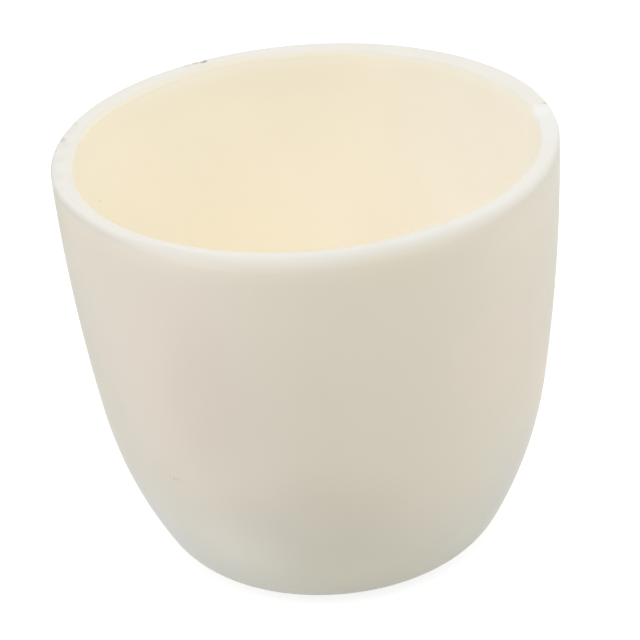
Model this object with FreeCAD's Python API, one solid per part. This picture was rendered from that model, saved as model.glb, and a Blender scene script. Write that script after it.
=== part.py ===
"""Ceramic crucible of about 100 ml, cast and fired in one piece. Millimetres, +Z up.

The origin is the centre of the foot, on the surface that the crucible stands on. +X is the photograph's
right, and -Y faces its viewer.
"""

import FreeCAD, Part
import math
import os
from FreeCAD import Vector

# Outside
rim_radius = 32.5
rim_height = 56.4
foot_radius = 14.4

# From the foot the outside turns up through two round stretches, in degrees of turn. The wall then runs on
# as one more arc, which would meet the rim's radius at the rim's height if the rim's edge were sharp.
base_round = 9.2
base_turn = 60.0
belly_round = 56.0
belly_turn = 20.3

# Thickness of the body, the same all over, as slip leaves it in a mould
wall = 2.8

# Softened edges of the rim
rim_outer_bevel = 0.25
rim_bore_bevel = 0.45

# Shell-shaped chips on the rim's outer edge. A direction is in degrees about the axis, from +X towards +Y.
chip_directions = (113.6, 12.9)
chip_lengths = (1.5, 1.1)
chip_depths = (0.22, 0.18)

AXIS = Vector(0, 0, 1)


class Stretch:
    """A round stretch of the section's outline, in the plane Y = 0.

    The outline runs out along the foot, up the outside, in over the rim and down the bore, and its heading
    is the angle by which it climbs there. A stretch has the headings at which it starts and ends.
    """

    def __init__(self, centre, radius, start, end):
        self.centre = centre
        self.radius = radius
        self.start = start
        self.end = end

    def at(self, heading):
        return self.centre + Vector(math.sin(heading), 0, -math.cos(heading)) * self.radius

    def heading_at(self, height):
        return math.acos((self.centre.z - height) / self.radius)

    def first(self):
        return self.at(self.start)

    def last(self):
        return self.at(self.end)

    def edge(self):
        middle = (self.start + self.end) / 2
        return Part.Arc(self.first(), self.at(middle), self.last()).toShape()

    def halves(self):
        middle = (self.start + self.end) / 2
        first = Stretch(self.centre, self.radius, self.start, middle)
        second = Stretch(self.centre, self.radius, middle, self.end)
        return [first, second]

    def lining(self, thickness):
        """The parallel stretch on the inside of a wall this thick, run back the other way."""
        return Stretch(self.centre, self.radius - thickness, self.end, self.start)


def stretch_on(last, radius, turn):
    """The stretch that carries on from the last one and turns up by this much more."""
    heading = last.end
    centre = last.last() + Vector(-math.sin(heading), 0, math.cos(heading)) * radius
    return Stretch(centre, radius, heading, heading + turn)


def stretch_to(last, point):
    """The stretch that carries on from the last one as far as the point."""
    chord = point - last.last()
    half_turn = math.atan2(chord.z, chord.x) - last.end
    radius = chord.Length / 2 / math.sin(half_turn)
    return stretch_on(last, radius, 2 * half_turn)


def section():
    """Half of the crucible's section."""
    base = Stretch(Vector(foot_radius, 0, base_round), base_round, 0, math.radians(base_turn))
    belly = stretch_on(base, belly_round, math.radians(belly_turn))
    outside = stretch_to(belly, Vector(rim_radius, 0, rim_height))
    bore = outside.lining(wall)

    outside.end = outside.heading_at(rim_height - rim_outer_bevel)
    bore.start = bore.heading_at(rim_height - rim_bore_bevel)
    rim_outer = outside.last() + Vector(-rim_outer_bevel, 0, rim_outer_bevel)
    rim_bore = bore.first() + Vector(rim_bore_bevel, 0, rim_bore_bevel)
    floor = base.lining(wall)

    up = [base] + belly.halves() + outside.halves()
    down = bore.halves() + belly.lining(wall).halves() + [floor]
    rim = [outside.last(), rim_outer, rim_bore, bore.first()]
    middle = [floor.last(), Vector(0, 0, wall), Vector(0, 0, 0), base.first()]
    edges = [stretch.edge() for stretch in up]
    edges += Part.makePolygon(rim).Edges
    edges += [stretch.edge() for stretch in down]
    edges += Part.makePolygon(middle).Edges
    return Part.Face(Part.Wire(edges))


def rim_chip(direction, length, depth):
    """A ball that bites this deep into the rim's outer edge, and this long along it."""
    ball_radius = ((length / 2) ** 2 + depth**2) / (2 * depth)
    out = (ball_radius - depth) * math.sqrt(0.5) - rim_outer_bevel / 2
    ball = Part.makeSphere(ball_radius, Vector(rim_radius + out, 0, rim_height + out))
    ball.rotate(Vector(0, 0, 0), AXIS, direction)
    return ball


def crucible():
    body = section().revolve(Vector(0, 0, 0), AXIS, 360)
    for direction, length, depth in zip(chip_directions, chip_lengths, chip_depths):
        body = body.cut(rim_chip(direction, length, depth))
    return body


def write(name, shape):
    if not shape.isValid() or len(shape.Solids) != 1:
        raise ValueError(name + " isn't one valid solid")
    shape.Solids[0].exportStep("parts/" + name + ".step")
    print(name, round(shape.Volume / 1000, 2), "cm3")


os.makedirs("parts", exist_ok=True)
write("crucible", crucible())
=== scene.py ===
import math

import bmesh
import bpy
from bpy.props import FloatProperty, FloatVectorProperty, IntProperty, PointerProperty
from mathutils import Matrix, Vector, noise


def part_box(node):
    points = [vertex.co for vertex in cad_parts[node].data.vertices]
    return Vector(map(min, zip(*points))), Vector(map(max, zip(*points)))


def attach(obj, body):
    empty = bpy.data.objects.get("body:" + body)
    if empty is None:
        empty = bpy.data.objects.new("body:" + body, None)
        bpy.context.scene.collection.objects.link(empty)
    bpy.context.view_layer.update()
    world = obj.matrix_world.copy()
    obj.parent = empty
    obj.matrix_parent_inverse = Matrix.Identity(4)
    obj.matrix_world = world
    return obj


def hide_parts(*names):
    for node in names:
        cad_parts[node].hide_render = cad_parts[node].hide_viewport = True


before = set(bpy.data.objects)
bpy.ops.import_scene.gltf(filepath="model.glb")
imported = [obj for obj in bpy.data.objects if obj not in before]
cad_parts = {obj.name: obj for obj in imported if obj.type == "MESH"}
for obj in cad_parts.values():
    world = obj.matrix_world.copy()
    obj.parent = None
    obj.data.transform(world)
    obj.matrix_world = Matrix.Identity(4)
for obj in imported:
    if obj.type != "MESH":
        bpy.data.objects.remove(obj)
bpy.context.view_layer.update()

bl_info = {
    "name": "Ceramic Crucible",
    "version": (1, 0, 0),
    "blender": (4, 5, 0),
    "location": "View3D > Sidebar > Crucible",
    "description": "Casts, wears and lights a small fired ceramic crucible",
    "category": "Object",
}

NODE = "crucible"
PIECE = "crucible_body"
MM = 0.001
LOWEST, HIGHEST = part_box(NODE)
RIM_RADIUS = min(HIGHEST.x - LOWEST.x, HIGHEST.y - LOWEST.y) / 2
RIM_HEIGHT = HIGHEST.z
SECTORS = 12

# Marks on the vertices of the rim's two rounded edges; all others have 0
OUTER_EDGE, BORE_EDGE = 1, 2

# Steps along each stretch of the section: out along the foot and up the outside, over each edge of the rim,
# and down the bore to the middle of its floor
FOOT_STEPS, BASE_STEPS, BELLY_STEPS, WALL_STEPS = 10, 16, 18, 28
EDGE_STEPS = 9
BORE_WALL_STEPS, BORE_BELLY_STEPS, BORE_BASE_STEPS, FLOOR_STEPS = 26, 16, 12, 8

# Vertices closer together than this are one
WELD = 0.001 * MM

# What lies within this of the rim's outer edge moves with it, and so for the bore's edge. Further down, both
# bands lean in by this share of the depth, as the wall does.
OUTER_BAND = 0.4 * MM
BORE_BAND = 0.7 * MM
WALL_LEAN = 0.06

# Depth at which the outer edge's swells have faded out, and how closely its wobbles follow each other
OUTER_FADE = 3.0 * MM
WOBBLE_SCALE = 9.0

# Round a chip the mesh is cut finer, this far past its ends. Its broken face ripples at this scale.
CHIP_MARGIN = 0.3 * MM
CHIP_CUTS = 3
RIPPLE_SCALE = 0.35 * MM

# Where the bore's edge leaves its circle: direction and spread in degrees, and how far out in mm
BORE_SWELLS = (
    (-100.0, 35.0, -0.15),
    (-65.0, 12.0, -0.20),
    (-5.0, 14.0, 0.30),
    (12.5, 2.5, 0.30),
    (35.0, 13.0, -0.55),
    (60.0, 12.0, -0.70),
    (108.0, 12.0, 0.80),
    (150.0, 18.0, 0.35),
)

# How round the rim's two edges are in each direction: direction in degrees, outer and bore radius in mm.
# No radius is above the round that the section is drawn with, or the flat of the rim would fold.
EDGE_ROUNDS = (
    (-180.0, 0.40, 0.60),
    (-145.0, 0.55, 0.65),
    (-112.0, 1.70, 0.50),
    (-65.0, 1.70, 0.60),
    (-30.0, 1.10, 0.75),
    (0.0, 0.45, 0.55),
    (30.0, 0.35, 0.70),
    (90.0, 0.35, 1.00),
    (150.0, 0.35, 0.80),
)

# Where the rim's outer edge leaves its circle, given as for the bore
RIM_SWELLS = (
    (-150.0, 14.0, -0.40),
    (-127.0, 14.0, -0.38),
    (-82.0, 40.0, -0.30),
    (28.0, 15.0, 0.12),
    (145.0, 20.0, 0.16),
)

# Chips on the rim's outer edge: direction in degrees, length along the rim and depth in mm, and how dirty
CHIPS = (
    (113.6, 1.3, 0.12, 0.6),
    (12.9, 1.1, 0.18, 0.4),
    (26.1, 0.6, 0.09, 0.5),
    (157.0, 1.6, 0.10, 0.12),
    (165.4, 2.0, 0.12, 0.35),
    (171.5, 1.0, 0.08, 0.3),
)

# Radii in mm at which the patches are centred. A patch is whole out to this share of its half width, and
# gone at that.
WALL_PATCH_RADIUS = 29.0
BORE_PATCH_RADIUS = 27.0
PATCH_WHOLE, PATCH_GONE = 0.35, 1.25

# Soft patches that tint, lighten or darken the body: direction in degrees, height, half width and half
# height in mm, and tint. On the wall, the two low at the foot are painted light from the floor; the one low
# on the front and the thin one just below the rim's front are painted shade.
WALL_PATCHES = (
    (-168.0, 8.0, 16.0, 16.0, (1.00, 1.00, 1.06)),
    # Painted light: the low wall lit from the floor
    (-135.0, 4.0, 18.0, 10.0, (1.045, 1.045, 1.045)),
    (-18.0, 13.0, 12.0, 12.0, (0.98, 1.00, 1.04)),
    (-178.0, 42.0, 12.0, 18.0, (0.925, 0.95, 0.96)),
    (-160.0, 27.0, 13.0, 18.0, (0.965, 0.99, 0.99)),
    (-165.0, 11.0, 7.0, 7.0, (0.965, 0.97, 0.97)),
    (-176.0, 53.0, 7.0, 5.0, (0.95, 0.95, 0.945)),
    (-117.0, 11.0, 9.0, 6.0, (1.05, 1.045, 1.05)),
    # Painted light: lifts the shade where the wall meets the floor
    (-108.0, 0.5, 24.0, 3.5, (1.085, 1.09, 1.135)),
    (-85.0, 7.0, 17.0, 9.0, (1.01, 0.99, 0.955)),
    (-38.0, 49.0, 9.0, 6.0, (1.02, 1.02, 1.015)),
    (-14.0, 52.5, 5.0, 5.0, (0.965, 1.00, 1.045)),
    # Painted shade: greenish shadow just below the rim's front edge
    (-76.0, 55.9, 26.0, 1.0, (0.94, 0.955, 0.945)),
    (-48.0, 9.0, 15.0, 8.0, (0.98, 0.978, 0.978)),
    (-38.0, 21.0, 7.0, 6.0, (0.975, 1.00, 1.005)),
    (-118.0, 45.0, 7.0, 7.0, (1.01, 0.995, 1.005)),
    (-140.0, 30.0, 28.0, 28.0, (1.00, 1.00, 1.02)),
    (-135.0, 36.0, 13.0, 13.0, (1.03, 1.00, 1.01)),
    (-120.0, 35.0, 8.0, 14.0, (0.965, 0.955, 0.955)),
    (-70.0, 34.0, 26.0, 26.0, (1.00, 1.00, 0.977)),
    # Painted shade: darker low on the front, where the wall faces down
    (-95.0, 16.0, 13.0, 10.0, (0.94, 0.94, 0.935)),
    (-72.0, 53.0, 8.0, 4.0, (0.995, 1.00, 0.965)),
    (-45.0, 37.0, 8.0, 8.0, (1.03, 1.00, 1.015)),
    (-12.0, 39.0, 7.0, 12.0, (0.94, 0.975, 0.98)),
    (-164.0, 28.0, 9.5, 30.0, (0.972, 0.972, 0.972)),
    (-30.0, 12.0, 9.0, 9.0, (0.962, 0.962, 0.965)),
    (-113.0, 38.0, 8.0, 16.0, (0.98, 0.98, 0.978)),
    (-138.0, 8.0, 16.0, 5.0, (0.972, 0.972, 0.985)),
    (-95.0, 34.0, 7.0, 14.0, (0.982, 0.982, 0.982)),
    (-30.0, 52.0, 12.0, 3.0, (1.025, 1.025, 1.025)),
)
BORE_PATCHES = (
    (18.0, 43.0, 24.0, 26.0, (1.00, 1.022, 1.07)),
    (45.0, 50.0, 13.0, 14.0, (0.975, 0.98, 0.975)),
    (90.0, 36.0, 14.0, 12.0, (1.02, 1.02, 1.025)),
    (122.0, 54.8, 15.0, 2.5, (0.995, 1.012, 1.035)),
    (106.0, 55.4, 13.0, 1.6, (1.01, 1.015, 1.05)),
    (135.0, 46.0, 34.0, 24.0, (1.00, 0.995, 0.948)),
    (112.0, 28.0, 14.0, 10.0, (1.00, 0.995, 0.96)),
    (95.0, 56.0, 45.0, 6.0, (0.982, 0.989, 0.977)),
    (64.0, 33.0, 8.0, 12.0, (0.985, 0.985, 0.985)),
    (112.0, 36.0, 16.0, 14.0, (1.008, 1.01, 1.02)),
    (18.0, 42.0, 10.0, 8.0, (1.01, 1.01, 1.01)),
)

# Heights in mm between which the foot's cooler tone goes over into the wall's
FOOT_TONE = (4.0, 24.0)

# How far below its top the rim's paler tone starts and is whole, in mm
RIM_TONE = (1.5, 0.1)

# Distances over the bore's edge between which the rim's tone goes over into the bore's
BORE_TONE = (0.3 * MM, 1.75 * MM)

# On the way there it turns creamier. Where that starts and how far it reaches change from the first value to
# the second between these places along Y, in mm.
CREAMED = (1.0, 0.975, 0.90)
CREAM_ALONG = (5.0, 30.0)
CREAM_START = (0.4 * MM, 0.0)
CREAM_REACH = (1.1 * MM, 0.9 * MM)

# The faint warm and cool clouds of the fired body
WARM_CLOUD = (1.0, 0.992, 0.988)
COOL_CLOUD = (0.992, 1.0, 1.0)

# Patches on the flat of the rim, lighter, bluer or greyer, and one of painted shade at the front: direction
# in degrees, radius and half width in mm, and tint
RIM_PATCHES = (
    (9.5, 30.4, 2.2, (1.05, 1.06, 1.08)),
    (2.0, 31.2, 6.0, (1.01, 1.03, 1.07)),
    # Painted shade: darkens the front of the rim, most at its outer edge
    (-80.0, 34.0, 16.0, (0.97, 0.975, 0.972)),
    (176.0, 31.9, 1.6, (0.95, 0.955, 0.97)),
    (-175.0, 32.1, 1.6, (0.945, 0.955, 0.98)),
    (-179.5, 32.4, 1.1, (0.95, 0.96, 0.97)),
    (-168.0, 32.2, 1.2, (0.96, 0.97, 0.99)),
    (168.0, 32.0, 1.4, (0.94, 0.945, 0.96)),
    (161.0, 32.0, 1.2, (0.96, 0.965, 0.97)),
    (117.0, 31.9, 1.0, (0.97, 0.97, 0.97)),
)

# Kiln specks and dirt: direction in degrees, radius, height and width in mm, and how dark. A speck is whole
# within this share of its width, and gone at that.
SPECK_WHOLE, SPECK_GONE = 0.25, 0.8
SPECKS = (
    (-133.9, 28.7, 21.3, 0.40, 0.30),
    (-132.6, 28.7, 21.3, 0.50, 0.14),
    (-135.0, 28.8, 22.5, 4.0, 0.02),
    (159.2, 29.2, 46.2, 0.30, 0.35),
    (113.2, 31.85, 56.35, 0.95, 0.85),
    (115.2, 32.0, 56.35, 0.85, 0.35),
    (117.5, 32.15, 56.35, 0.80, 0.18),
)


class CrucibleForm(bpy.types.PropertyGroup):
    rim_radius: FloatProperty(
        name="Rim radius", description="Outer radius at the rim", default=RIM_RADIUS, unit="LENGTH"
    )
    rim_height: FloatProperty(
        name="Height", description="Height of the rim above the foot", default=RIM_HEIGHT, unit="LENGTH"
    )
    foot_radius: FloatProperty(
        name="Foot radius", description="Radius of the flat foot", default=14.4 * MM, unit="LENGTH"
    )
    base_round: FloatProperty(
        name="Base round", description="Radius of the turn out of the foot", default=9.2 * MM, unit="LENGTH"
    )
    base_turn: FloatProperty(
        name="Base turn",
        description="How far the base round turns up",
        default=math.radians(60.0),
        subtype="ANGLE",
    )
    belly_round: FloatProperty(
        name="Belly round", description="Radius of the belly's curve", default=56.0 * MM, unit="LENGTH"
    )
    belly_turn: FloatProperty(
        name="Belly turn",
        description="How far the belly turns up beyond the base round",
        default=math.radians(20.3),
        subtype="ANGLE",
    )
    wall: FloatProperty(
        name="Wall", description="Thickness of the body, even all over", default=2.8 * MM, unit="LENGTH"
    )
    rim_outer_round: FloatProperty(
        name="Outer rim edge",
        description="Round on the rim's outer edge before it is rubbed down",
        default=1.7 * MM,
        unit="LENGTH",
    )
    rim_bore_round: FloatProperty(
        name="Bore edge",
        description="Round on the rim's bore edge before it is rubbed down",
        default=1.0 * MM,
        unit="LENGTH",
    )
    steps_around: IntProperty(
        name="Steps around", description="Faces round the axis", default=480, min=24, max=720
    )


class CrucibleWear(bpy.types.PropertyGroup):
    swell_depth: FloatProperty(
        name="Swell depth",
        description="How far down the bore its uneven edge fades out",
        default=14.0 * MM,
        unit="LENGTH",
    )
    edge_wobble: FloatProperty(
        name="Edge wobble",
        description="How far the rim's outer edge wavers inwards",
        default=0.05 * MM,
        unit="LENGTH",
    )
    chip_slope: FloatProperty(
        name="Chip slope",
        description="How steeply the chips bite down into the edge",
        default=math.radians(60.0),
        subtype="ANGLE",
    )
    chip_grain: FloatProperty(
        name="Chip grain",
        description="Unevenness of a chip's broken face, as a share of its radius",
        default=0.05,
        subtype="FACTOR",
        min=0.0,
        max=0.3,
    )


class CrucibleFinish(bpy.types.PropertyGroup):
    body: FloatVectorProperty(
        name="Body",
        description="Cream of the fired body",
        default=(0.765, 0.706, 0.603),
        subtype="COLOR",
        size=3,
        min=0.0,
        max=1.0,
    )
    foot: FloatVectorProperty(
        name="Foot",
        description="Cooler tone that the wall has next to the foot",
        default=(0.735, 0.728, 0.648),
        subtype="COLOR",
        size=3,
        min=0.0,
        max=1.0,
    )
    # The bore's colour is lighter than the body's: painted light for the bright inside of the bore
    bore: FloatVectorProperty(
        name="Bore",
        description="Warmer cream of the bore",
        default=(0.955, 0.897, 0.784),
        subtype="COLOR",
        size=3,
        min=0.0,
        max=1.0,
    )
    # The rim's colour is paler and also darker than the body's: painted shade for the strong light on the
    # rim's top
    rim: FloatVectorProperty(
        name="Rim",
        description="Paler cream of the rubbed rim",
        default=(0.69, 0.67, 0.615),
        subtype="COLOR",
        size=3,
        min=0.0,
        max=1.0,
    )
    chip: FloatVectorProperty(
        name="Chip",
        description="Grey of the broken faces",
        default=(0.38, 0.38, 0.33),
        subtype="COLOR",
        size=3,
        min=0.0,
        max=1.0,
    )
    speck: FloatVectorProperty(
        name="Speck",
        description="Brown of the kiln specks",
        default=(0.30, 0.26, 0.20),
        subtype="COLOR",
        size=3,
        min=0.0,
        max=1.0,
    )


class CrucibleStudio(bpy.types.PropertyGroup):
    lens: FloatProperty(
        name="Lens",
        description="Focal length on a 36 mm sensor",
        default=4251.1 / 640 * 36.0,
        unit="CAMERA",
    )
    distance: FloatProperty(
        name="Distance", description="Camera to the point it looks at", default=552.5 * MM, unit="LENGTH"
    )
    elevation: FloatProperty(
        name="Elevation",
        description="How far the camera looks down",
        default=math.radians(27.4006),
        subtype="ANGLE",
    )
    roll: FloatProperty(
        name="Roll",
        description="Turn of the camera's picture",
        default=math.radians(-4.7188),
        subtype="ANGLE",
    )
    ambient: FloatProperty(
        name="Ambient", description="Brightness of the white room round the crucible", default=0.34, min=0.0
    )


class Outline:
    """The crucible's half section, drawn as one bmesh vertex swept from the foot to the floor of the bore.

    A vertex's heading is the angle at which the outline climbs there.
    """

    TURN_AXIS = Vector((0, -1, 0))

    def __init__(self, mesh):
        self.mesh = mesh
        self.inwards = mesh.verts.layers.float.new("inwards")
        self.edge = mesh.verts.layers.int.new("edge")
        self.tip = mesh.verts.new((0, 0, 0))
        self.heading = 0.0

    def mark_inwards(self, before):
        """Give the vertices made since then their distance along the outline from the first of them."""
        distance = 0.0
        last = None
        for vert in self.mesh.verts:
            if vert not in before:
                distance += (vert.co - last).length if last else 0.0
                vert[self.inwards] = distance
                last = vert.co

    def mark_edge(self, before, edge):
        """Mark the vertices made since then, because a spin copies the mark that it starts from."""
        for vert in self.mesh.verts:
            if vert not in before:
                vert[self.edge] = edge

    def run(self, end, steps):
        """A straight stretch to (radius, height)."""
        start = self.tip.co.copy()
        end = Vector((end[0], 0, end[1]))
        for step in range(steps):
            made = bmesh.ops.extrude_vert_indiv(self.mesh, verts=[self.tip])
            self.tip = made["verts"][0]
            self.tip.co = start.lerp(end, (step + 1) / steps)

    def turn(self, centre, heading, steps):
        """A round stretch about (radius, height), up to the given heading."""
        made = bmesh.ops.spin(
            self.mesh,
            geom=[self.tip],
            cent=(centre[0], 0, centre[1]),
            axis=self.TURN_AXIS,
            angle=heading - self.heading,
            steps=steps,
        )
        self.tip = next(v for v in made["geom_last"] if isinstance(v, bmesh.types.BMVert))
        self.heading = heading


def ahead(point, heading, distance):
    """The point this far to the left of the outline, which is towards the body."""
    return Vector((point[0] - math.sin(heading) * distance, point[1] + math.cos(heading) * distance))


def rim_touch(form, centre, radius, reach):
    """Centre of a rim round of this radius that touches the wall's arc, and the wall's heading there."""
    rise = form.rim_height - radius - centre.y
    run = math.copysign(math.sqrt(reach**2 - rise**2), reach)
    return Vector((centre.x + run, centre.y + rise)), math.atan2(run / reach, -rise / reach)


def draw_section(mesh, form):
    """Draw the section's outline from the same arcs as the solid: foot, outside, rim, bore and floor."""
    outline = Outline(mesh)
    shoulder_heading = form.base_turn
    belly_heading = form.base_turn + form.belly_turn
    base_centre = Vector((form.foot_radius, form.base_round))
    shoulder = ahead(base_centre, shoulder_heading, -form.base_round)
    belly_centre = ahead(shoulder, shoulder_heading, form.belly_round)
    belly = ahead(belly_centre, belly_heading, -form.belly_round)
    chord = Vector((form.rim_radius, form.rim_height)) - belly
    half_turn = math.atan2(chord.y, chord.x) - belly_heading
    wall_round = chord.length / 2 / math.sin(half_turn)
    wall_centre = ahead(belly, belly_heading, wall_round)
    outer_centre, outer_heading = rim_touch(
        form, wall_centre, form.rim_outer_round, wall_round - form.rim_outer_round
    )
    bore_centre, bore_heading = rim_touch(
        form, wall_centre, form.rim_bore_round, wall_round - form.wall + form.rim_bore_round
    )

    outline.run((form.foot_radius, 0), FOOT_STEPS)
    outline.turn(base_centre, shoulder_heading, BASE_STEPS)
    outline.turn(belly_centre, belly_heading, BELLY_STEPS)
    outline.turn(wall_centre, outer_heading, WALL_STEPS)
    outline.tip[outline.edge] = OUTER_EDGE
    outside = set(mesh.verts)
    outline.turn(outer_centre, math.pi, EDGE_STEPS)
    outline.mark_edge(outside, OUTER_EDGE)
    outside = set(mesh.verts)
    outline.run((bore_centre.x, form.rim_height), 1)
    outline.tip[outline.edge] = BORE_EDGE
    flat = set(mesh.verts)
    outline.turn(bore_centre, math.pi + bore_heading, EDGE_STEPS)
    outline.mark_edge(flat, BORE_EDGE)
    rim = set(mesh.verts)
    outline.heading = bore_heading
    outline.turn(wall_centre, belly_heading, BORE_WALL_STEPS)
    outline.turn(belly_centre, shoulder_heading, BORE_BELLY_STEPS)
    outline.turn(base_centre, 0, BORE_BASE_STEPS)
    outline.run((0, form.wall), FLOOR_STEPS)
    outline.mark_edge(rim, 0)
    outline.mark_inwards(outside)


def spin_section(mesh, form):
    """Spin the section into one sector, then spin that sector's copies round to the full turn."""
    about = {"cent": (0, 0, 0), "axis": (0, 0, 1)}
    sector = math.tau / SECTORS
    bmesh.ops.spin(
        mesh,
        geom=mesh.verts[:] + mesh.edges[:],
        angle=sector,
        steps=form.steps_around // SECTORS,
        **about,
    )
    bmesh.ops.spin(
        mesh,
        geom=mesh.verts[:] + mesh.edges[:] + mesh.faces[:],
        angle=math.tau - sector,
        steps=SECTORS - 1,
        use_duplicate=True,
        **about,
    )
    bmesh.ops.remove_doubles(mesh, verts=mesh.verts, dist=WELD)


def smooth_step(low, high, value):
    """0 below low, 1 above high, and soft in between."""
    share = min(max((value - low) / (high - low), 0.0), 1.0)
    return share * share * (3 - 2 * share)


def turned_from(direction, other):
    """Degrees from the other direction to this one, between -180 and 180."""
    return (direction - other + 180.0) % 360.0 - 180.0


def swell(swells, direction):
    """How far out an edge lies from its circle in this direction, in metres."""
    total = 0.0
    for at, spread, out in swells:
        total += out * math.exp(-((turned_from(direction, at) / spread) ** 2))
    return MM * total


def edge_rounds(direction):
    """Radii of the rim's outer and bore edges in this direction, in metres."""
    passed = [(turned_from(direction, each[0]) % 360.0, each) for each in EDGE_ROUNDS]
    last_off, last = min(passed)
    next_off, following = max(passed)
    share = smooth_step(0, 360.0 - next_off + last_off, last_off)
    return [MM * (last[side] + (following[side] - last[side]) * share) for side in (1, 2)]


def round_edges(mesh, form):
    """Draw the rim's rounds in towards the sharp corners they stand for, as far as each direction needs."""
    edge = mesh.verts.layers.int["edge"]
    for vert in mesh.verts:
        if vert[edge]:
            direction = math.atan2(vert.co.y, vert.co.x)
            outer, bore = edge_rounds(math.degrees(direction))
            radius, share = form.rim_radius, outer / form.rim_outer_round
            if vert[edge] == BORE_EDGE:
                radius, share = form.rim_radius - form.wall, bore / form.rim_bore_round
            corner = Vector((math.cos(direction) * radius, math.sin(direction) * radius, form.rim_height))
            vert.co = corner.lerp(vert.co, share)


def uneven_rim(mesh, form, wear):
    """Let the rim's two edges swell and waver, fading out down the wall."""
    outer_edge = form.rim_radius - OUTER_BAND
    bore_edge = form.rim_radius - form.wall + BORE_BAND
    for vert in mesh.verts:
        depth = form.rim_height - vert.co.z
        radius = vert.co.xy.length
        if depth > wear.swell_depth or radius < form.foot_radius:
            continue
        direction = math.degrees(math.atan2(vert.co.y, vert.co.x))
        inwards = 1 - smooth_step(bore_edge, outer_edge, radius + WALL_LEAN * depth)
        lasting = 1 - smooth_step(0, wear.swell_depth, depth)
        shift = swell(BORE_SWELLS, direction) * inwards * lasting
        waver = 0.5 + 0.5 * noise.noise(vert.co.normalized() * WOBBLE_SCALE)
        fresh = 1 - smooth_step(0, OUTER_FADE, depth)
        shift += (swell(RIM_SWELLS, direction) - wear.edge_wobble * waver) * fresh * (1 - inwards)
        vert.co.xy *= 1 + shift / radius


def chip_rim(mesh, form, wear):
    """Bite shell-shaped chips out of the rim's outer edge, and mark their faces as broken."""
    broken = mesh.verts.layers.float.new("broken")
    out, up = math.cos(wear.chip_slope), math.sin(wear.chip_slope)
    for direction, length, depth, dirt in CHIPS:
        length, depth = length * MM, depth * MM
        rounding = edge_rounds(direction)[0] * (1 - math.sqrt(0.5))
        radius = form.rim_radius + swell(RIM_SWELLS, direction) - rounding
        edge = Vector((radius, 0, form.rim_height - rounding))
        ball_radius = ((length / 2) ** 2 + depth**2) / (2 * depth)
        turn = Matrix.Rotation(math.radians(direction), 3, "Z")
        bite = turn @ edge
        centre = turn @ (edge + Vector((out, 0, up)) * (ball_radius - depth))
        near = [e for e in mesh.edges if (e.verts[0].co - bite).length < length / 2 + CHIP_MARGIN]
        bmesh.ops.subdivide_edges(mesh, edges=near, cuts=CHIP_CUTS, use_grid_fill=True)
        for vert in mesh.verts:
            away = vert.co - centre
            if away.length < ball_radius:
                ripple = 1 + wear.chip_grain * abs(noise.noise(vert.co / RIPPLE_SCALE))
                vert.co = centre + away.normalized() * ball_radius * ripple
                vert[broken] = dirt
            vert.co.z = min(vert.co.z, form.rim_height)


class CRUCIBLE_OT_body(bpy.types.Operator):
    """Cast the crucible's body by spinning its section about the axis, then wear its rim"""

    bl_idname = "crucible.body"
    bl_label = "Crucible body"

    def execute(self, context):
        form = context.scene.crucible_form
        wear = context.scene.crucible_wear
        mesh = bmesh.new()
        draw_section(mesh, form)
        spin_section(mesh, form)
        round_edges(mesh, form)
        uneven_rim(mesh, form, wear)
        chip_rim(mesh, form, wear)
        bmesh.ops.recalc_face_normals(mesh, faces=mesh.faces)
        for face in mesh.faces:
            face.smooth = True
        data = bpy.data.meshes.new(PIECE)
        mesh.to_mesh(data)
        mesh.free()
        data.materials.append(fired_ceramic(form, context.scene.crucible_finish))
        piece = bpy.data.objects.new(PIECE, data)
        context.scene.collection.objects.link(piece)
        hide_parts(NODE)
        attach(piece, "root")
        return {"FINISHED"}


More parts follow.
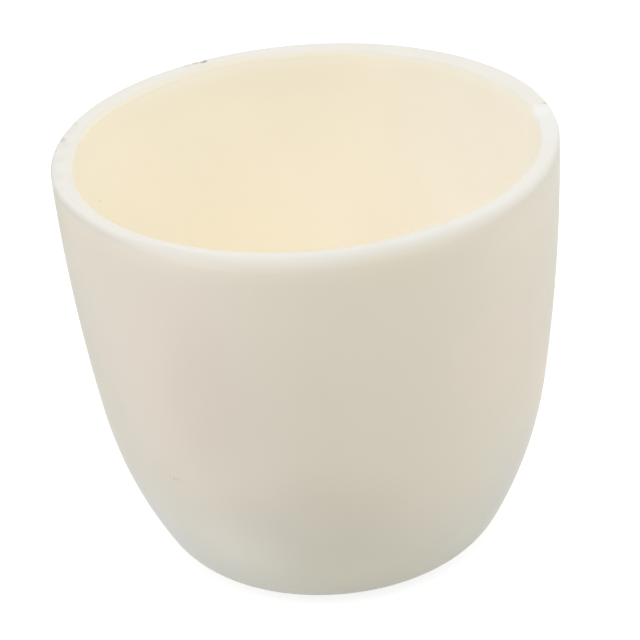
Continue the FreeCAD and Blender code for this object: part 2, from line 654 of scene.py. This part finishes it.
class NodeBench:
    """A material's node tree, with short calls for the nodes that the crucible's finishes need."""

    def __init__(self, name):
        self.material = bpy.data.materials.new(name)
        self.material.use_nodes = True
        self.tree = self.material.node_tree
        self.shader = self.tree.nodes["Principled BSDF"]
        self.output = self.tree.nodes["Material Output"]

    def put(self, socket, value):
        """Link a socket to another's output, or set it to a plain value."""
        if isinstance(value, bpy.types.NodeSocket):
            self.tree.links.new(value, socket)
        else:
            socket.default_value = value

    def node(self, kind, settings=None, **inputs):
        made = self.tree.nodes.new(kind)
        for name, value in (settings or {}).items():
            setattr(made, name, value)
        for name, value in inputs.items():
            self.put(made.inputs[name.replace("_", " ")], value)
        return made

    def sum(self, operation, *values):
        made = self.node("ShaderNodeMath", {"operation": operation})
        for socket, value in zip(made.inputs, values):
            self.put(socket, value)
        return made.outputs["Value"]

    def vector(self, operation, *values):
        made = self.node("ShaderNodeVectorMath", {"operation": operation})
        for socket, value in zip(made.inputs, values):
            self.put(socket, value)
        return made

    def ramp(self, value, low, high, to_low=0.0, to_high=1.0):
        """A soft step of the value from low to high."""
        made = self.node("ShaderNodeMapRange", {"interpolation_type": "SMOOTHSTEP"}, Value=value)
        ends = {"From Min": low, "From Max": high, "To Min": to_low, "To Max": to_high}
        for name, number in ends.items():
            made.inputs[name].default_value = number
        return made.outputs["Result"]

    def noise(self, vector, scale, detail=2.0, roughness=0.5):
        values = {"Scale": scale, "Detail": detail, "Roughness": roughness}
        return self.node("ShaderNodeTexNoise", Vector=vector, **values).outputs["Fac"]

    def patch(self, colour, place, radius, direction, height, half_width, half_height, tint):
        """Tint a colour round a spot on the surface, fading out to the patch's edge."""
        off = self.vector("SUBTRACT", place, on_surface(direction, radius, height)).outputs["Vector"]
        off = self.vector("DIVIDE", off, (half_width, half_width, half_height)).outputs["Vector"]
        share = self.ramp(self.vector("LENGTH", off).outputs["Value"], PATCH_WHOLE, PATCH_GONE, 1.0, 0.0)
        return self.blend(share, colour, self.tinted(colour, tint))

    def blend(self, share, colour, other, blend_type="MIX"):
        """Mix two colours. The mix node's colour sockets are its inputs 6 and 7 and its output 2."""
        made = self.node("ShaderNodeMix", {"data_type": "RGBA", "blend_type": blend_type})
        self.put(made.inputs["Factor"], share)
        self.put(made.inputs[6], colour)
        self.put(made.inputs[7], other)
        return made.outputs[2]

    def tinted(self, colour, tint):
        return self.blend(1.0, colour, (*tint, 1.0), "MULTIPLY")


def rgba(colour):
    return (*colour, 1.0)


def on_surface(direction, radius, height):
    """The place in this direction, in degrees, at this radius and height."""
    turn = math.radians(direction)
    return (math.cos(turn) * radius, math.sin(turn) * radius, height)


def fired_ceramic(form, finish):
    """The unglazed body: cream, a little cloudy from the kiln, finely grained; painted shade on the paler
    rim, painted light in the bore, and painted light and shade in some wall patches.
    """
    bench = NodeBench("cream ceramic")
    place = bench.node("ShaderNodeTexCoord").outputs["Object"]
    mm = bench.vector("SCALE", place)
    mm.inputs["Scale"].default_value = 1000.0
    mm = mm.outputs["Vector"]
    parts = bench.node("ShaderNodeSeparateXYZ", Vector=mm)
    height = parts.outputs["Z"]
    top = form.rim_height / MM

    cloud = bench.noise(mm, 0.035, 3.0, 0.55)
    mottle = bench.noise(mm, 0.22, 4.0, 0.6)
    grain = bench.noise(mm, 2.4, 3.0, 0.65)
    wall_colour = bench.blend(bench.ramp(height, *FOOT_TONE), rgba(finish.foot), rgba(finish.body))
    for direction, *patch in WALL_PATCHES:
        wall_colour = bench.patch(wall_colour, mm, WALL_PATCH_RADIUS, direction, *patch)
    # The bore's colour is painted light: lighter than the body's
    bore_colour = rgba(finish.bore)
    for direction, *patch in BORE_PATCHES:
        bore_colour = bench.patch(bore_colour, mm, BORE_PATCH_RADIUS, direction, *patch)

    inwards = bench.node("ShaderNodeAttribute", {"attribute_name": "inwards"}).outputs["Fac"]
    start = bench.ramp(parts.outputs["Y"], *CREAM_ALONG, *CREAM_START)
    reach = bench.ramp(parts.outputs["Y"], *CREAM_ALONG, *CREAM_REACH)
    past = bench.sum("DIVIDE", bench.sum("SUBTRACT", inwards, start), reach)
    # The rim's colour carries painted shade for the strong light on its top
    rim_colour = rgba(finish.rim)
    for direction, middle, half_width, tint in RIM_PATCHES:
        rim_colour = bench.patch(rim_colour, mm, middle, direction, top, half_width, half_width, tint)
    creamed = bench.tinted(rim_colour, CREAMED)
    rim_colour = bench.blend(bench.ramp(past, 0.0, 1.0), rim_colour, creamed)
    # Near the top the rim's colour, with its painted shade, takes over
    rim_band = bench.ramp(height, top - RIM_TONE[0], top - RIM_TONE[1])
    edged = bench.blend(rim_band, wall_colour, rim_colour)
    body = bench.blend(bench.ramp(inwards, *BORE_TONE), edged, bore_colour)
    warm = bench.tinted(body, WARM_CLOUD)
    cool = bench.tinted(body, COOL_CLOUD)
    colour = bench.blend(bench.ramp(cloud, 0.35, 0.65), cool, warm)

    for direction, middle_radius, middle_height, width, darkness in SPECKS:
        middle = on_surface(direction, middle_radius, middle_height)
        away = bench.vector("DISTANCE", mm, middle).outputs["Value"]
        spot = bench.ramp(away, width * SPECK_WHOLE, width * SPECK_GONE, darkness, 0.0)
        colour = bench.blend(spot, colour, rgba(finish.speck))

    broken = bench.node("ShaderNodeAttribute", {"attribute_name": "broken"}).outputs["Fac"]
    colour = bench.blend(broken, colour, rgba(finish.chip))
    bench.put(bench.shader.inputs["Base Color"], colour)

    dull = bench.ramp(mottle, 0.25, 0.75, 0.52, 0.62)
    bench.put(bench.shader.inputs["Roughness"], dull)
    bench.shader.inputs["IOR"].default_value = 1.5
    relief = bench.sum("MULTIPLY_ADD", mottle, 2.5, grain)
    bump = bench.node("ShaderNodeBump", Height=relief)
    bump.inputs["Strength"].default_value = 0.12
    bump.inputs["Distance"].default_value = 0.03 * MM
    bench.put(bench.shader.inputs["Normal"], bump.outputs["Normal"])
    return bench.material


def seen_white(bench):
    """1 for rays that look at the studio, straight, in a gloss or through glass, and 0 for its light."""
    path = bench.node("ShaderNodeLightPath")
    seen = bench.sum("MAXIMUM", path.outputs["Is Camera Ray"], path.outputs["Is Glossy Ray"])
    return bench.sum("MAXIMUM", seen, path.outputs["Is Transmission Ray"])


def studio_floor():
    """A pale floor that looks white where nothing shades it."""
    bench = NodeBench("studio floor")
    bench.tree.nodes.remove(bench.shader)
    lit = bench.node("ShaderNodeBsdfDiffuse", Color=(0.72, 0.72, 0.71, 1.0))
    shaded = bench.node("ShaderNodeBsdfDiffuse", Color=(0.32, 0.32, 0.32, 1.0))
    glow = bench.node("ShaderNodeEmission", Strength=0.83)
    white = bench.node("ShaderNodeAddShader")
    bench.put(white.inputs[0], shaded.outputs["BSDF"])
    bench.put(white.inputs[1], glow.outputs["Emission"])
    floor = bench.node("ShaderNodeMixShader")
    bench.put(floor.inputs[0], seen_white(bench))
    bench.put(floor.inputs[1], lit.outputs["BSDF"])
    bench.put(floor.inputs[2], white.outputs["Shader"])
    bench.put(bench.output.inputs["Surface"], floor.outputs["Shader"])
    return bench.material


# Soft boxes: name, direction and elevation in degrees, distance and width in metres, watts. They hang round
# this place and face it.
LIT_PLACE = Vector((0, 0, 0.03))
LAMPS = (
    ("left_box", -165.0, 22.0, 0.60, 0.50, 1.19),
    ("right_box", 0.0, 22.0, 0.60, 0.50, 1.19),
    ("front_box", -90.0, 60.0, 0.60, 0.50, 1.84),
    ("back_box", 80.0, 60.0, 0.60, 0.50, 1.36),
)


# Place that the camera looks at, and radius of the floor in metres
SEEN_PLACE = Vector((0.14 * MM, 0, 31.42 * MM))
FLOOR_RADIUS = 6.0


class CRUCIBLE_OT_stage(bpy.types.Operator):
    """Lay the floor, hang the soft boxes and place the camera"""

    bl_idname = "crucible.stage"
    bl_label = "Stage"

    def execute(self, context):
        scene = context.scene
        studio = scene.crucible_studio
        self.lay_floor(scene)
        self.light_room(scene, studio)
        for lamp in LAMPS:
            self.hang_box(scene, *lamp)
        self.place_camera(scene, studio)
        scene.view_settings.view_transform = "Standard"
        return {"FINISHED"}

    def lay_floor(self, scene):
        mesh = bmesh.new()
        bmesh.ops.create_circle(mesh, cap_ends=True, segments=96, radius=FLOOR_RADIUS)
        data = bpy.data.meshes.new("floor")
        mesh.to_mesh(data)
        mesh.free()
        data.materials.append(studio_floor())
        floor = bpy.data.objects.new("floor", data)
        scene.collection.objects.link(floor)

    def light_room(self, scene, studio):
        world = bpy.data.worlds.new("studio")
        world.use_nodes = True
        tree = world.node_tree
        path = tree.nodes.new("ShaderNodeLightPath")
        seen = path.outputs["Is Camera Ray"]
        for name in ("Is Glossy Ray", "Is Transmission Ray"):
            either = tree.nodes.new("ShaderNodeMath")
            either.operation = "MAXIMUM"
            tree.links.new(seen, either.inputs[0])
            tree.links.new(path.outputs[name], either.inputs[1])
            seen = either.outputs["Value"]
        level = tree.nodes.new("ShaderNodeMapRange")
        level.inputs["To Min"].default_value = studio.ambient
        level.inputs["To Max"].default_value = 1.0
        tree.links.new(seen, level.inputs["Value"])
        tree.links.new(level.outputs["Result"], tree.nodes["Background"].inputs["Strength"])
        tree.nodes["Background"].inputs["Color"].default_value = (1.0, 1.0, 1.0, 1.0)
        scene.world = world

    def hang_box(self, scene, name, direction, elevation, distance, width, watts):
        light = bpy.data.lights.new(name, "AREA")
        light.shape = "SQUARE"
        light.size = width
        light.energy = watts
        lamp = bpy.data.objects.new(name, light)
        scene.collection.objects.link(lamp)
        rise = math.radians(elevation)
        turn = math.radians(direction)
        away = Vector((math.cos(turn) * math.cos(rise), math.sin(turn) * math.cos(rise), math.sin(rise)))
        lamp.matrix_world = Matrix.Translation(away * distance + LIT_PLACE) @ (
            away.to_track_quat("Z", "Y").to_matrix().to_4x4()
        )

    def place_camera(self, scene, studio):
        camera = bpy.data.objects.new("camera", bpy.data.cameras.new("camera"))
        scene.collection.objects.link(camera)
        camera.data.sensor_width = 36.0
        camera.data.lens = studio.lens
        back = Vector((0, -math.cos(studio.elevation), math.sin(studio.elevation)))
        right = Vector((1, 0, 0))
        up = back.cross(right)
        turned_right = right * math.cos(studio.roll) + up * math.sin(studio.roll)
        turned_up = up * math.cos(studio.roll) - right * math.sin(studio.roll)
        frame_axes = Matrix((turned_right, turned_up, back)).transposed().to_4x4()
        camera.matrix_world = Matrix.Translation(SEEN_PLACE + back * studio.distance) @ frame_axes
        scene.camera = camera


class CRUCIBLE_PT_panel(bpy.types.Panel):
    bl_label = "Ceramic crucible"
    bl_idname = "CRUCIBLE_PT_panel"
    bl_space_type = "VIEW_3D"
    bl_region_type = "UI"
    bl_category = "Crucible"

    def draw(self, context):
        for step in STEPS:
            self.layout.operator(step.bl_idname)
        for group in GROUPS:
            settings = getattr(context.scene, group)
            box = self.layout.box()
            # The first two properties are Blender's own
            own = settings.bl_rna.properties.keys()[2:]
            for name in own:
                box.prop(settings, name)


STEPS = (CRUCIBLE_OT_body, CRUCIBLE_OT_stage)
GROUPS = {
    "crucible_form": CrucibleForm,
    "crucible_wear": CrucibleWear,
    "crucible_finish": CrucibleFinish,
    "crucible_studio": CrucibleStudio,
}
CLASSES = (*GROUPS.values(), *STEPS, CRUCIBLE_PT_panel)


def register():
    for each in CLASSES:
        bpy.utils.register_class(each)
    for name, group in GROUPS.items():
        setattr(bpy.types.Scene, name, PointerProperty(type=group))


def unregister():
    for name in GROUPS:
        delattr(bpy.types.Scene, name)
    for each in reversed(CLASSES):
        bpy.utils.unregister_class(each)


def main():
    register()
    bpy.ops.crucible.body()
    bpy.ops.crucible.stage()


if __name__ == "__main__":
    main()
